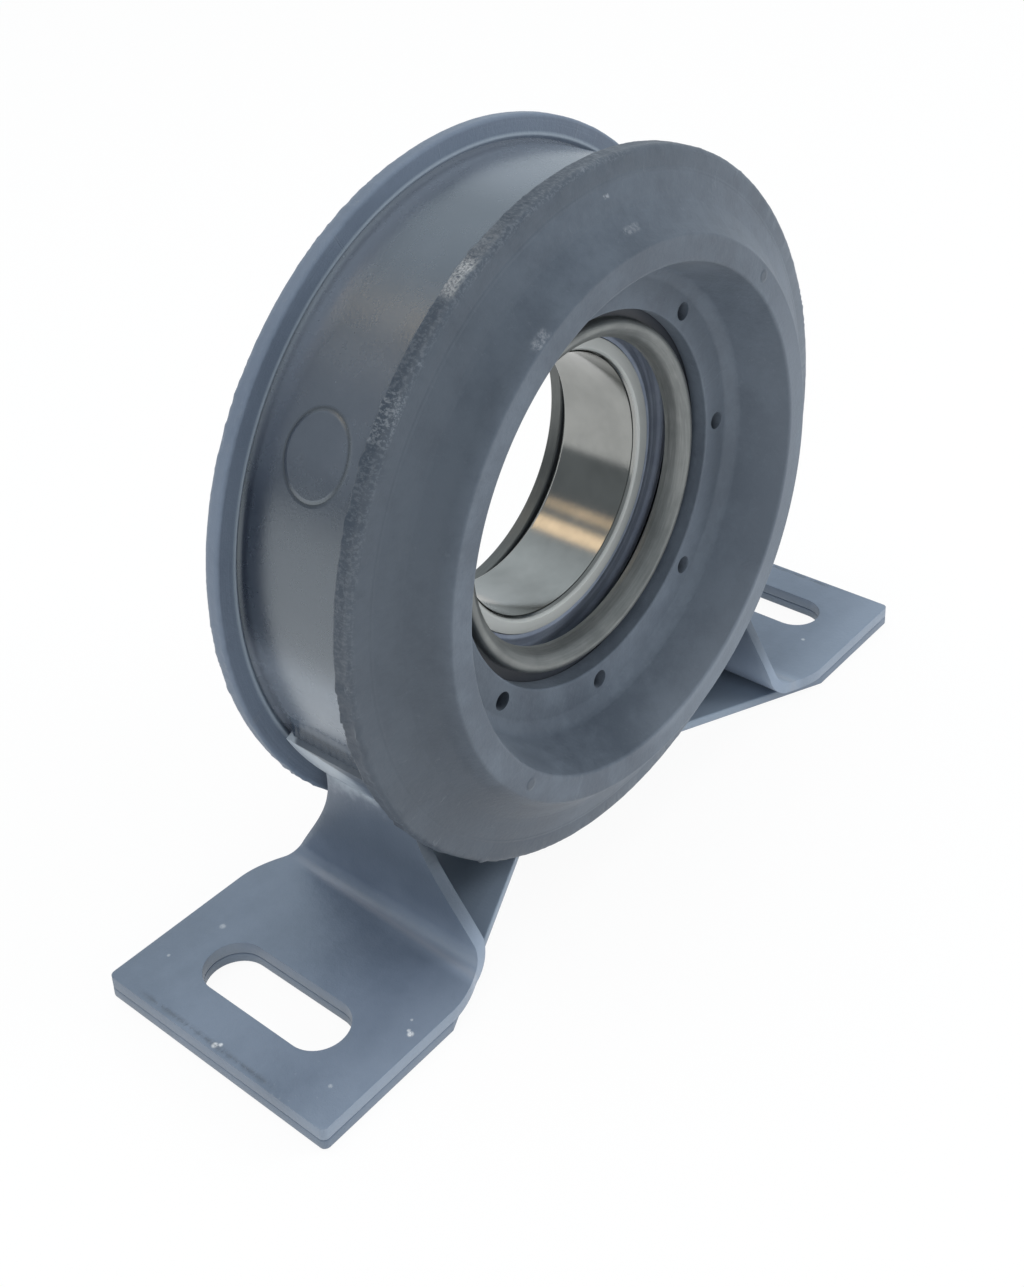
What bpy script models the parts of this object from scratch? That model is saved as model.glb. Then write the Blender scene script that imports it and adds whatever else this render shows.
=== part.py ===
# Driveshaft centre bearing: a ball bearing held by a rubber cushion in a flanged steel band,
# standing on a welded bracket with two slotted feet. Metres, +Z up, shaft along Y, front at -Y.
import math
import bpy
import bmesh

MM = 0.001

# Clearance left between pieces that touch
fit_gap = 0.3 * MM

# Ball bearing
bore_radius = 20.0 * MM
bore_chamfer = 0.7 * MM
inner_wall = 2.8 * MM
outer_wall = 2.7 * MM
ball_radius = 3.9 * MM
ball_count = 12
ball_side_room = 3.6 * MM
bearing_centre = 5.4 * MM
inner_land_wall = 2.65 * MM
shoulder_step = 2.4 * MM
land_width = 2.6 * MM
ring_corner = 0.8 * MM
land_corner = 0.3 * MM
seal_thickness = 1.0 * MM
seal_inset = 0.7 * MM
cage_thickness = 3.2 * MM
cage_side_gap = 0.5 * MM

# Steel sleeve round the bearing, its front dust lip and the rear shield
sleeve_wall = 1.5 * MM
sleeve_front_room = 4.2 * MM
sleeve_back_room = 2.1 * MM
sleeve_corner = 0.8 * MM
bearing_stop = 3.9 * MM
lip_wall = 1.3 * MM
front_lip_step = 3.3 * MM
front_lip_width = 3.15 * MM
front_lip_reach = 2.1 * MM
back_lip_step = 4.0 * MM
back_lip_width = 3.3 * MM
back_lip_reach = 0.9 * MM
shield_room = 4.3 * MM

# Rubber cushion
hub_wall = 2.2 * MM
hub_overhang = 0.2 * MM
cushion_gap = 7.7 * MM
lining_thickness = 1.2 * MM
web_thickness = 2.9 * MM
web_gap = 1.75 * MM
vent_count = 8
vent_radius = 1.4 * MM
vent_inset = 2.7 * MM
mouth_step = 1.2 * MM
mouth_flare = 3.0 * MM
crest_width = 4.0 * MM
crest_rise = 6.1 * MM
crest_depth = 5.7 * MM
fold_width = 5.3 * MM
dish_width = 3.9 * MM
mouth_depth = 3.5 * MM
rim_cover = 1.0 * MM
rim_wall = 1.4 * MM
front_rim_drop = 0.45 * MM
rim_corner = 1.1 * MM
rim_lip_thickness = 0.45 * MM

# Steel band with two turned out flanges
band_sheet = 1.2 * MM
band_half_width = 12.1 * MM
band_inner_bend = 1.2 * MM
flange_height = 2.8 * MM

# Bracket feet, risers, tabs and tie plate
sheet = 1.6 * MM
rim_clearance = 0.4 * MM
foot_half_depth = 20.95 * MM
foot_corner = 0.9 * MM
foot_heel = 8.9 * MM
riser_lean = 1.4 * MM
riser_bend = 2.0 * MM
neck_in = 0.5 * MM
tab_side_gap = 1.45 * MM
tab_low_angle = 52.0
tab_span_angle = 12.5
waist_half_width = 6.0 * MM
waist_half_length = 15.5 * MM
slot_from_heel = 12.0 * MM
slot_to_end = 11.3 * MM
slot_width = 8.9 * MM
slot_length = 25.2 * MM

# Weld beads at the ends of the tabs
bead_height = 1.9 * MM
bead_run = 3.3 * MM
bead_ripple_share = 0.12
bead_rings = 13

# Smoothness of round shapes
steps_large = 44
steps_bearing = 36
steps_small = 30
arc_steps = 2
groove_steps = 5

# Radii from the bore outwards
groove_radius = ball_radius + fit_gap
pitch_radius = bore_radius + inner_wall + groove_radius
bearing_outer_radius = pitch_radius + groove_radius + outer_wall
sleeve_inner = bearing_outer_radius + fit_gap
sleeve_outer = sleeve_inner + sleeve_wall
hub_inner = sleeve_outer + fit_gap
hub_outer = hub_inner + hub_wall
lining_inner = hub_outer + cushion_gap
lining_outer = lining_inner + lining_thickness
band_inner = lining_outer + fit_gap
band_radius = band_inner + band_sheet
band_flange_radius = band_radius + flange_height
wrap_radius = band_flange_radius + fit_gap
rim_radius = band_flange_radius + rim_wall
front_rim_radius = rim_radius - front_rim_drop

# Places along the shaft
bearing_front = bearing_centre - ball_radius - ball_side_room
bearing_back = bearing_centre + ball_radius + ball_side_room
sleeve_front = bearing_front - sleeve_front_room
sleeve_back = bearing_back + sleeve_back_room
web_back = sleeve_front - fit_gap
web_front = web_back - web_thickness
rim_face = band_half_width + rim_cover
crest_front = -rim_face - crest_rise

# Height of the shaft axis above the ground
axis_height = rim_radius + rim_clearance + sheet


def remove_everything():
    for obj in list(bpy.data.objects):
        bpy.data.objects.remove(obj, do_unlink=True)


def make_collection(name):
    col = bpy.data.collections.new(name)
    bpy.context.scene.collection.children.link(col)
    return col


def make_material(name, colour, roughness, metallic):
    mat = bpy.data.materials.new(name)
    mat.use_nodes = True
    shader = mat.node_tree.nodes["Principled BSDF"]
    shader.inputs["Base Color"].default_value = (*colour, 1.0)
    shader.inputs["Roughness"].default_value = roughness
    shader.inputs["Metallic"].default_value = metallic
    mat.diffuse_color = (*colour, 1.0)
    return mat


def arc(centre, radius, start, end, count):
    points = []
    for i in range(count + 1):
        a = math.radians(start + (end - start) * i / count)
        points.append((centre[0] + radius * math.cos(a), centre[1] + radius * math.sin(a)))
    return points


def mesh_object(name, verts, faces, col, mat, edges=()):
    mesh = bpy.data.meshes.new(name)
    mesh.from_pydata(verts, list(edges), faces)
    mesh.update()
    obj = bpy.data.objects.new(name, mesh)
    col.objects.link(obj)
    if mat is not None:
        mesh.materials.append(mat)
    return obj


def turned(name, profile, steps, col, mat):
    # A closed profile of (radius, distance along the shaft) turned about the shaft axis
    count = len(profile)
    verts = [(r, y, 0.0) for r, y in profile]
    edges = [(i, (i + 1) % count) for i in range(count)]
    obj = mesh_object(name, verts, [], col, mat, edges)
    obj.location = (0.0, 0.0, axis_height)
    screw = obj.modifiers.new("Turn", 'SCREW')
    screw.axis = 'Y'
    screw.angle = math.radians(360)
    screw.steps = steps
    screw.render_steps = steps
    screw.use_merge_vertices = True
    screw.merge_threshold = 0.00001
    screw.use_smooth_shade = False
    return obj


def cylinder_mesh(name, radius, half_length, steps, places, col):
    # Round rods along Y, one for each (x, y, z) place
    verts = []
    faces = []
    for place in places:
        base = len(verts)
        for side in (-1, 1):
            for i in range(steps):
                a = 2 * math.pi * (i + 0.5) / steps
                x = place[0] + radius * math.cos(a)
                z = place[2] + radius * math.sin(a)
                verts.append((x, place[1] + side * half_length, z))
        for i in range(steps):
            j = (i + 1) % steps
            faces.append((base + i, base + steps + i, base + steps + j, base + j))
        faces.append(tuple(base + i for i in range(steps)))
        faces.append(tuple(base + steps + i for i in reversed(range(steps))))
    return mesh_object(name, verts, faces, col, None)


def prism(name, outline, low, high, col, mat):
    # A flat outline in the ground plane with a thickness from low to high
    count = len(outline)
    verts = [(x, y, low) for x, y in outline] + [(x, y, high) for x, y in outline]
    faces = [tuple(reversed(range(count))), tuple(range(count, 2 * count))]
    for i in range(count):
        j = (i + 1) % count
        faces.append((i, j, count + j, count + i))
    return mesh_object(name, verts, faces, col, mat)


def hide_cutter(obj):
    obj.hide_render = True
    obj.display_type = 'WIRE'


def cut(obj, cutter, name):
    mod = obj.modifiers.new(name, 'BOOLEAN')
    mod.operation = 'DIFFERENCE'
    mod.solver = 'EXACT'
    mod.object = cutter
    return mod


def slot_outline(centre_x):
    half = slot_width / 2
    run = slot_length / 2 - half
    points = arc((centre_x, run), half, 0, 180, 8)
    points += arc((centre_x, -run), half, 180, 360, 8)
    return points


remove_everything()
parts = make_collection("driveshaft_centre_bearing")
cutters = make_collection("cutters")

painted = make_material("black_painted_steel", (0.06, 0.07, 0.085), 0.35, 0.0)
painted_leg = make_material("black_painted_foot", (0.085, 0.10, 0.13), 0.4, 0.0)
painted_plate = make_material("black_painted_plate", (0.07, 0.085, 0.11), 0.45, 0.0)
rubber = make_material("dark_rubber", (0.085, 0.097, 0.115), 0.75, 0.0)
bright = make_material("ground_steel", (0.72, 0.72, 0.70), 0.18, 1.0)
ring_steel = make_material("bearing_steel", (0.60, 0.60, 0.60), 0.25, 1.0)
ball_steel = make_material("ball_steel", (0.80, 0.80, 0.80), 0.10, 1.0)
cage_steel = make_material("cage_steel", (0.55, 0.50, 0.42), 0.40, 1.0)
plated = make_material("dull_plated_steel", (0.30, 0.30, 0.27), 0.45, 0.8)
seal_rubber = make_material("navy_seal_rubber", (0.045, 0.055, 0.075), 0.55, 0.0)
bead_steel = make_material("painted_weld", (0.10, 0.11, 0.13), 0.35, 0.0)

# Steel band: a spool with a turned out flange at each end
bend_centre_r = band_radius + band_inner_bend
bend_centre_y = band_half_width - band_sheet - band_inner_bend
outer_bend = band_inner_bend + band_sheet
flange_inner_y = band_half_width - band_sheet
band_profile = [(band_flange_radius, band_half_width), (band_flange_radius, flange_inner_y)]
band_profile += arc((bend_centre_r, bend_centre_y), band_inner_bend, 90, 180, arc_steps)
band_profile += arc((bend_centre_r, -bend_centre_y), band_inner_bend, 180, 270, arc_steps)
band_profile += [(band_flange_radius, -flange_inner_y), (band_flange_radius, -band_half_width)]
band_profile += arc((bend_centre_r, -bend_centre_y), outer_bend, 270, 180, arc_steps)
band_profile += arc((bend_centre_r, bend_centre_y), outer_bend, 180, 90, arc_steps)
turned("outer_band", band_profile, steps_large, parts, painted)

# Rubber cushion: wraps both flanges, lines the band, folds forward to a crest,
# then turns back into a recess and a thin web over the front of the sleeve
lip_top = flange_inner_y - fit_gap
lip_face = lip_top - rim_lip_thickness
lip_foot_radius = bend_centre_r - fit_gap
wrap_face = band_half_width + fit_gap
clear_bend = outer_bend + fit_gap
web_inner_radius = bore_radius + front_lip_step + front_lip_width + web_gap
mouth_radius = hub_inner + mouth_step
crest_outer_radius = mouth_radius + crest_width
recess_floor_radius = mouth_radius - mouth_flare
hub_back = sleeve_back + hub_overhang
rubber_profile = [
    (rim_radius, rim_face - rim_corner),
    (rim_radius, lip_face + 0.7 * MM),
    (rim_radius - 0.6 * MM, lip_face),
    (lip_foot_radius, lip_face),
    (lip_foot_radius, lip_top),
    (wrap_radius, lip_top),
    (wrap_radius, wrap_face),
]
rubber_profile += arc((bend_centre_r, bend_centre_y), clear_bend, 90, 180, arc_steps)
rubber_profile += arc((bend_centre_r, -bend_centre_y), clear_bend, 180, 270, arc_steps)
rubber_profile += [
    (wrap_radius, -wrap_face),
    (wrap_radius, -lip_top),
    (lip_foot_radius, -lip_top),
    (lip_foot_radius, -lip_face),
    (front_rim_radius - 0.4 * MM, -lip_face),
    (front_rim_radius, -lip_face - 0.5 * MM),
    (front_rim_radius, -rim_face + rim_corner),
    (front_rim_radius - rim_corner, -rim_face),
    (front_rim_radius - 3.4 * MM, -rim_face - 0.6 * MM),
    (crest_outer_radius + dish_width, -rim_face - 1.8 * MM),
    (crest_outer_radius + 1.3 * MM, crest_front + 2.1 * MM),
    (crest_outer_radius, crest_front + 0.4 * MM),
    (crest_outer_radius - 0.5 * MM, crest_front),
    (mouth_radius + 0.4 * MM, crest_front),
    (mouth_radius, crest_front + 0.4 * MM),
    (mouth_radius - 1.0 * MM, crest_front + mouth_depth),
    (recess_floor_radius + 0.8 * MM, web_front - 1.9 * MM),
    (recess_floor_radius - 0.4 * MM, web_front - 0.3 * MM),
    (recess_floor_radius - 1.5 * MM, web_front),
    (web_inner_radius, web_front),
    (web_inner_radius, web_back),
    (hub_inner, web_back),
    (hub_inner, hub_back),
    (hub_outer, hub_back),
    (hub_outer + 0.9 * MM, web_back - 0.8 * MM),
    (hub_outer + 2.0 * MM, crest_front + crest_depth + 0.7 * MM),
    (hub_outer + 3.4 * MM, crest_front + crest_depth),
    (hub_outer + fold_width, -rim_face + 1.3 * MM),
    (lining_inner, -bend_centre_y),
    (lining_inner, rim_face - 1.6 * MM),
    (lining_inner + 1.2 * MM, rim_face),
    (rim_radius - rim_corner, rim_face),
]
cushion = turned("rubber_cushion", rubber_profile, steps_large, parts, rubber)
vent_ring_radius = web_inner_radius + vent_inset
vent_places = []
for k in range(vent_count):
    a = 2 * math.pi * k / vent_count
    vent_places.append((vent_ring_radius * math.sin(a), web_front, vent_ring_radius * math.cos(a)))
vents = cylinder_mesh("vent_cutter", vent_radius, web_thickness + fit_gap, 10, vent_places, cutters)
vents.location = (0.0, 0.0, axis_height)
hide_cutter(vents)
cut(cushion, vents, "Vents")

# Steel sleeve with the front dust lip
stop_radius = bearing_outer_radius - bearing_stop
front_lip_inner_radius = bore_radius + front_lip_step
front_lip_outer_radius = front_lip_inner_radius + front_lip_width
front_lip_face = sleeve_front - front_lip_reach
sleeve_profile = [
    (sleeve_outer, sleeve_back),
    (sleeve_outer, sleeve_front + sleeve_corner),
    (sleeve_outer - sleeve_corner, sleeve_front),
    (front_lip_outer_radius, sleeve_front),
    (front_lip_outer_radius, front_lip_face + 0.5 * MM),
    (front_lip_outer_radius - 0.5 * MM, front_lip_face),
    (front_lip_outer_radius - 1.2 * MM, front_lip_face + 0.1 * MM),
    (front_lip_inner_radius, sleeve_front),
    (front_lip_inner_radius, sleeve_front + lip_wall),
    (stop_radius, sleeve_front + lip_wall),
    (stop_radius, bearing_front - fit_gap),
    (sleeve_inner, bearing_front - fit_gap),
    (sleeve_inner, sleeve_back),
]
turned("bearing_sleeve", sleeve_profile, steps_bearing, parts, plated)

# Rear shield pressed into the back of the sleeve
shield_face = bearing_back + shield_room
back_lip_inner_radius = bore_radius + back_lip_step
back_lip_face = shield_face + back_lip_reach
shield_profile = [
    (bearing_outer_radius, shield_face),
    (bearing_outer_radius, bearing_back + fit_gap),
    (stop_radius, bearing_back + fit_gap),
    (stop_radius, shield_face - lip_wall),
    (back_lip_inner_radius, shield_face - lip_wall),
    (back_lip_inner_radius, back_lip_face - 0.8 * MM),
    (back_lip_inner_radius + 0.9 * MM, back_lip_face),
    (back_lip_inner_radius + back_lip_width - 0.6 * MM, back_lip_face),
    (back_lip_inner_radius + back_lip_width, shield_face),
]
turned("rear_shield", shield_profile, steps_small, parts, plated)

# Bearing rings with a groove for the balls
inner_land_radius = bore_radius + inner_land_wall
inner_shoulder_radius = pitch_radius - shoulder_step
outer_shoulder_radius = pitch_radius + shoulder_step
groove_angle = math.degrees(math.acos(shoulder_step / groove_radius))
inner_profile = [
    (inner_land_radius - land_corner, bearing_back),
    (inner_land_radius, bearing_back - land_corner),
    (inner_land_radius, bearing_back - land_width),
    (inner_shoulder_radius, bearing_back - land_width),
]
inner_profile += arc((pitch_radius, bearing_centre), groove_radius, 180 - groove_angle, 180 + groove_angle, groove_steps)
inner_profile += [
    (inner_shoulder_radius, bearing_front + land_width),
    (inner_land_radius, bearing_front + land_width),
    (inner_land_radius, bearing_front + land_corner),
    (inner_land_radius - land_corner, bearing_front),
    (bore_radius + bore_chamfer, bearing_front),
    (bore_radius, bearing_front + bore_chamfer),
    (bore_radius, bearing_back - bore_chamfer),
    (bore_radius + bore_chamfer, bearing_back),
]
turned("bearing_inner_ring", inner_profile, steps_bearing, parts, bright)
outer_profile = [
    (bearing_outer_radius, bearing_back - ring_corner),
    (bearing_outer_radius, bearing_front + ring_corner),
    (bearing_outer_radius - ring_corner, bearing_front),
    (outer_shoulder_radius, bearing_front),
]
outer_profile += arc((pitch_radius, bearing_centre), groove_radius, -groove_angle, groove_angle, groove_steps)
outer_profile += [
    (outer_shoulder_radius, bearing_back),
    (bearing_outer_radius - ring_corner, bearing_back),
]
turned("bearing_outer_ring", outer_profile, steps_small, parts, ring_steel)

# Seals between the rings
seal_inner = inner_land_radius + fit_gap
seal_outer = outer_shoulder_radius - fit_gap
front_seal_y = bearing_front + seal_inset
back_seal_y = bearing_back - seal_inset - seal_thickness
for name, y in (("front_seal", front_seal_y), ("rear_seal", back_seal_y)):
    seal_profile = [
        (seal_outer, y + seal_thickness),
        (seal_outer, y),
        (seal_inner, y),
        (seal_inner, y + seal_thickness),
    ]
    turned(name, seal_profile, steps_small, parts, seal_rubber)

# Balls, each on its own, carried round the shaft axis
ball_angles = [2 * math.pi * (k + 0.5) / ball_count for k in range(ball_count)]


def ball_mesh(name, radius, segments, rings, places, col, mat):
    bm = bmesh.new()
    for x, y, z in places:
        made = bmesh.ops.create_uvsphere(bm, u_segments=segments, v_segments=rings, radius=radius)
        bmesh.ops.translate(bm, verts=made["verts"], vec=(x, y, z))
    mesh = bpy.data.meshes.new(name)
    bm.to_mesh(mesh)
    bm.free()
    obj = bpy.data.objects.new(name, mesh)
    col.objects.link(obj)
    if mat is not None:
        mesh.materials.append(mat)
    obj.location = (0.0, 0.0, axis_height)
    return obj


ball_places = []
for a in ball_angles:
    ball_places.append((pitch_radius * math.sin(a), bearing_centre, pitch_radius * math.cos(a)))
for k, place in enumerate(ball_places):
    ball_mesh("ball_%02d" % (k + 1), ball_radius, 10, 8, [place], parts, ball_steel)

# Cage in two halves with a pocket round each ball
pocket_cutter = ball_mesh("pocket_cutter", groove_radius, 12, 8, ball_places, cutters, None)
hide_cutter(pocket_cutter)
cage_inner = pitch_radius - cage_thickness / 2
cage_outer = pitch_radius + cage_thickness / 2
cage_front_face = front_seal_y + seal_thickness + cage_side_gap
cage_back_face = back_seal_y - cage_side_gap
cage_halves = (
    ("cage_front", cage_front_face, bearing_centre - fit_gap / 2),
    ("cage_back", bearing_centre + fit_gap / 2, cage_back_face),
)
for name, low, high in cage_halves:
    cage_profile = [(cage_outer, high), (cage_outer, low), (cage_inner, low), (cage_inner, high)]
    half = turned(name, cage_profile, steps_bearing, parts, cage_steel)
    cut(half, pocket_cutter, "Pockets")

# Places along the bracket, from the end of the tab outwards
tab_radius = band_radius + fit_gap + sheet
tab_half_width = lip_face - tab_side_gap
neck_half_width = tab_half_width - neck_in


def tab_point(angle):
    a = math.radians(angle)
    return (tab_radius * math.sin(a), axis_height - tab_radius * math.cos(a))


neck_x, neck_z = tab_point(tab_low_angle)
riser_foot = neck_x - riser_lean
foot_shoulder = riser_foot + foot_heel
slot_centre = foot_shoulder + slot_from_heel
foot_end = slot_centre + slot_to_end

# Slots through both layers of each foot
slot_cutters = {}
for side, label in ((-1, "left"), (1, "right")):
    slot = prism("slot_cutter_" + label, slot_outline(side * slot_centre), -sheet, 4 * sheet, cutters, None)
    hide_cutter(slot)
    slot_cutters[label] = slot

# Lower tie plate: flat, foot to foot, narrow under the band
quarter = [(waist_half_length, waist_half_width), (foot_shoulder, foot_half_depth)]
quarter += arc((foot_end - foot_corner, foot_half_depth - foot_corner), foot_corner, 90, 0, 3)
right_side = [(x, -y) for x, y in quarter] + [(x, y) for x, y in reversed(quarter)]
plate_outline = right_side + [(-x, -y) for x, y in right_side]
plate = prism("tie_plate", plate_outline, 0.0, sheet, parts, painted_plate)
cut(plate, slot_cutters["left"], "Slot left")
cut(plate, slot_cutters["right"], "Slot right")

# Upper leg on each side: a foot that bends up into a riser, necked in to pass between the flanges,
# and a tab at its head that lies along the band
foot_top = 2 * sheet + fit_gap


def ease(u):
    u = min(max(u, 0.0), 1.0)
    return u * u * (3 - 2 * u)


def leg_stations():
    # (distance from the middle, height, half width) from the foot end up to the end of the tab
    stations = []
    for px, py in arc((foot_end - foot_corner, foot_half_depth - foot_corner), foot_corner, 0, 90, 3):
        stations.append((px, foot_top, py))
    flat = foot_shoulder - riser_foot - riser_bend
    bend_run = riser_bend * math.pi / 2
    rise = neck_z - foot_top - riser_bend
    run = flat + bend_run + rise
    path = []
    for i in range(4):
        s = flat * i / 3
        path.append((foot_shoulder - s, foot_top, s))
    for i in range(1, 4):
        a = math.radians(90 * i / 3)
        x = riser_foot + riser_bend - riser_bend * math.sin(a)
        z = foot_top + riser_bend - riser_bend * math.cos(a)
        path.append((x, z, flat + bend_run * i / 3))
    for i in range(1, 7):
        u = i / 6
        x = riser_foot + (neck_x - riser_foot) * u
        path.append((x, foot_top + riser_bend + rise * u, flat + bend_run + rise * u))
    for x, z, s in path:
        half = neck_half_width + (foot_half_depth - neck_half_width) * ease(1 - 1.02 * s / run)
        stations.append((x, z, half))
    for i in range(1, 5):
        x, z = tab_point(tab_low_angle + tab_span_angle * i / 4)
        half = neck_half_width + (tab_half_width - neck_half_width) * ease(i / 3)
        stations.append((x, z, half))
    return stations


for side, label in ((-1, "left"), (1, "right")):
    verts = []
    faces = []
    for x, z, half in leg_stations():
        verts.append((side * x, -half, z))
        verts.append((side * x, half, z))
    for i in range(len(verts) // 2 - 1):
        a, b = 2 * i, 2 * i + 1
        c, d = 2 * i + 3, 2 * i + 2
        faces.append((a, d, c, b) if side < 0 else (a, b, c, d))
    leg = mesh_object("leg_" + label, verts, faces, parts, painted_leg)
    solid = leg.modifiers.new("Sheet", 'SOLIDIFY')
    solid.thickness = sheet
    solid.offset = -1.0
    solid.use_even_offset = True
    cut(leg, slot_cutters[label], "Slot")

# Weld beads between the ends of the tabs and the band: a rippled fillet on each side
bead_shape = [(0.0, 0.0), (1.0, 0.0), (0.9, 0.36), (0.62, 0.74), (0.3, 0.95), (0.0, 1.0)]
bead_half_length = tab_half_width - fit_gap
bead_start = math.radians(tab_low_angle + tab_span_angle) + fit_gap / band_radius
bead_foot = band_radius + fit_gap
for side, label in ((-1, "left"), (1, "right")):
    verts = []
    faces = []
    count = len(bead_shape)
    for i in range(bead_rings):
        y = -bead_half_length + 2 * bead_half_length * i / (bead_rings - 1)
        end = i in (0, bead_rings - 1)
        swell = 0.55 if end else 1.0 - bead_ripple_share * (i % 2)
        for run, rise in bead_shape:
            a = bead_start + run * swell * bead_run / band_radius
            r = bead_foot + rise * swell * bead_height
            verts.append((side * r * math.sin(a), y, axis_height - r * math.cos(a)))
    for i in range(bead_rings - 1):
        for k in range(count):
            m = (k + 1) % count
            face = (i * count + k, i * count + m, (i + 1) * count + m, (i + 1) * count + k)
            faces.append(face if side > 0 else tuple(reversed(face)))
    last = (bead_rings - 1) * count
    near_cap = tuple(reversed(range(count)))
    far_cap = tuple(range(last, last + count))
    faces.append(near_cap if side > 0 else tuple(reversed(near_cap)))
    faces.append(far_cap if side > 0 else tuple(reversed(far_cap)))
    mesh_object("weld_" + label, verts, faces, parts, bead_steel)
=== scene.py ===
import math

import bmesh
import bpy
from mathutils import Euler, Matrix, Vector, noise


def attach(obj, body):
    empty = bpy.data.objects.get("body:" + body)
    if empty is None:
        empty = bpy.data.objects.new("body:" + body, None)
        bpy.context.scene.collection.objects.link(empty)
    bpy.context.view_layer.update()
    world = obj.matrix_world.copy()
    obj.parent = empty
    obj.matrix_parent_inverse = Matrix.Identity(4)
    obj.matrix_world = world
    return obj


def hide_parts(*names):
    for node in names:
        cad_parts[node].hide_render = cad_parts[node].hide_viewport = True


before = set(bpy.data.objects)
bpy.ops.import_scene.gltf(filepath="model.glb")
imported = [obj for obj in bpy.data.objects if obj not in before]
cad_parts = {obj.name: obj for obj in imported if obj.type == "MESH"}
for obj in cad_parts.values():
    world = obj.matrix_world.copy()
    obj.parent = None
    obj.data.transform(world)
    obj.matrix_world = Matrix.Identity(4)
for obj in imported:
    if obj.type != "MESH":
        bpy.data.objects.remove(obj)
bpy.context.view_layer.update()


# The camera stands to the front left of the bearing and looks down on it, near enough for the
# front flange to stand out large against the rear one. Its shift is only as large as the
# photograph's framing needs, so that views from other sides show the whole object.
camera_place = (-0.16109, -0.13765, 0.17348)
look_down = 24.2062
look_round = -51.4187
camera_lean = -1.4311
camera_data = bpy.data.cameras.new("camera")
camera_data.lens = 46.1246
camera_data.shift_x = -0.0600
camera_data.shift_y = -0.2400
camera_data.clip_start = 0.01
camera = bpy.data.objects.new("camera", camera_data)
bpy.context.scene.collection.objects.link(camera)
camera_turn = Euler((math.radians(90 - look_down), 0.0, math.radians(look_round))).to_matrix().to_4x4()
camera_roll = Matrix.Rotation(math.radians(camera_lean), 4, 'Z')
camera.matrix_world = Matrix.Translation(camera_place) @ camera_turn @ camera_roll
bpy.context.scene.camera = camera
bpy.context.scene.view_settings.view_transform = 'Standard'


class Value:
    """A number, vector or colour inside a material. The usual operators add Math nodes."""

    def __init__(self, tree, socket):
        self.tree = tree
        self.socket = socket

    def node(self, kind, settings=None, links=None, out=0):
        made = self.tree.nodes.new(kind)
        for key, setting in (settings or {}).items():
            setattr(made, key, setting)
        for key, value in (links or {}).items():
            if isinstance(value, Value):
                self.tree.links.new(value.socket, made.inputs[key])
            else:
                made.inputs[key].default_value = value
        return Value(self.tree, made.outputs[out])

    def math(self, operation, first, second=0.0):
        return self.node('ShaderNodeMath', {"operation": operation}, {0: first, 1: second})

    def __add__(self, other):
        return self.math('ADD', self, other)

    __radd__ = __add__

    def __sub__(self, other):
        return self.math('SUBTRACT', self, other)

    def __rsub__(self, other):
        return self.math('SUBTRACT', other, self)

    def __mul__(self, other):
        return self.math('MULTIPLY', self, other)

    __rmul__ = __mul__

    def __truediv__(self, other):
        return self.math('DIVIDE', self, other)

    def __pow__(self, other):
        return self.math('POWER', self, other)

    def absolute(self):
        return self.math('ABSOLUTE', self)

    def least(self, other):
        return self.math('MINIMUM', self, other)

    def most(self, other):
        return self.math('MAXIMUM', self, other)

    def rise(self, low, high, start=0.0, end=1.0):
        # Eased from start to end as the value goes from low to high
        settings = {"interpolation_type": 'SMOOTHSTEP'}
        return self.node('ShaderNodeMapRange', settings, {0: self, 1: low, 2: high, 3: start, 4: end})

    def line(self, centre, half_width):
        # 1 at the centre, and down to 0 at half a width from it
        return 1 - ((self - centre).absolute() / half_width).least(1)

    def colours(self, first, second):
        # From the first colour at 0 to the second at 1
        return self.node('ShaderNodeMix', {"data_type": 'RGBA'}, {0: self, 6: first, 7: second}, out=2)

    def scaled(self, size):
        return self.node('ShaderNodeVectorMath', {"operation": 'MULTIPLY'}, {0: self, 1: size})

    def speckle(self, scale, detail=3.0, roughness=0.55):
        links = {"Vector": self, "Scale": scale, "Detail": detail, "Roughness": roughness}
        return self.node('ShaderNodeTexNoise', None, links)

    def cells(self, scale):
        return self.node('ShaderNodeTexVoronoi', None, {"Vector": self, "Scale": scale})

    def along(self, way):
        return self.node('ShaderNodeVectorMath', {"operation": 'DOT_PRODUCT'}, {0: self, 1: way}, out=1)

    def distance(self, point):
        return self.node('ShaderNodeVectorMath', {"operation": 'DISTANCE'}, {0: self, 1: point}, out=1)

    def parts(self):
        apart = self.node('ShaderNodeSeparateXYZ', None, {0: self})
        sockets = apart.socket.node.outputs
        return [Value(self.tree, sockets[i]) for i in range(3)]

    def joined(self, y, z):
        return self.node('ShaderNodeCombineXYZ', None, {0: self, 1: y, 2: z})


# The bench: a wide pale table under three soft lamps, one overhead, one at the right front and
# one at the left, in a room with a bright side behind the bearing and a pale ceiling. Two small
# amber lamps in the room give the bore its warm streaks.
table_drop = 0.0003
direct_glow = 0.93
mirrored_glow = 0.88
table_mesh = bpy.data.meshes.new("table")
table_corners = [(-6, -6, 0), (6, -6, 0), (6, 6, 0), (-6, 6, 0)]
table_mesh.from_pydata(table_corners, [], [(0, 1, 2, 3)])
table = bpy.data.objects.new("table", table_mesh)
table.location = (0, 0, -table_drop)
bpy.context.scene.collection.objects.link(table)
table_paper = bpy.data.materials.new("table_paper")
table_paper.use_nodes = True
paper_tree = table_paper.node_tree
paper_shader = paper_tree.nodes["Principled BSDF"]
paper_shader.inputs["Base Color"].default_value = (0.90, 0.90, 0.90, 1)
paper_shader.inputs["Roughness"].default_value = 0.9
paper_shader.inputs["Specular IOR Level"].default_value = 0.1
paper = Value(paper_tree, paper_shader.outputs["BSDF"])
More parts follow.
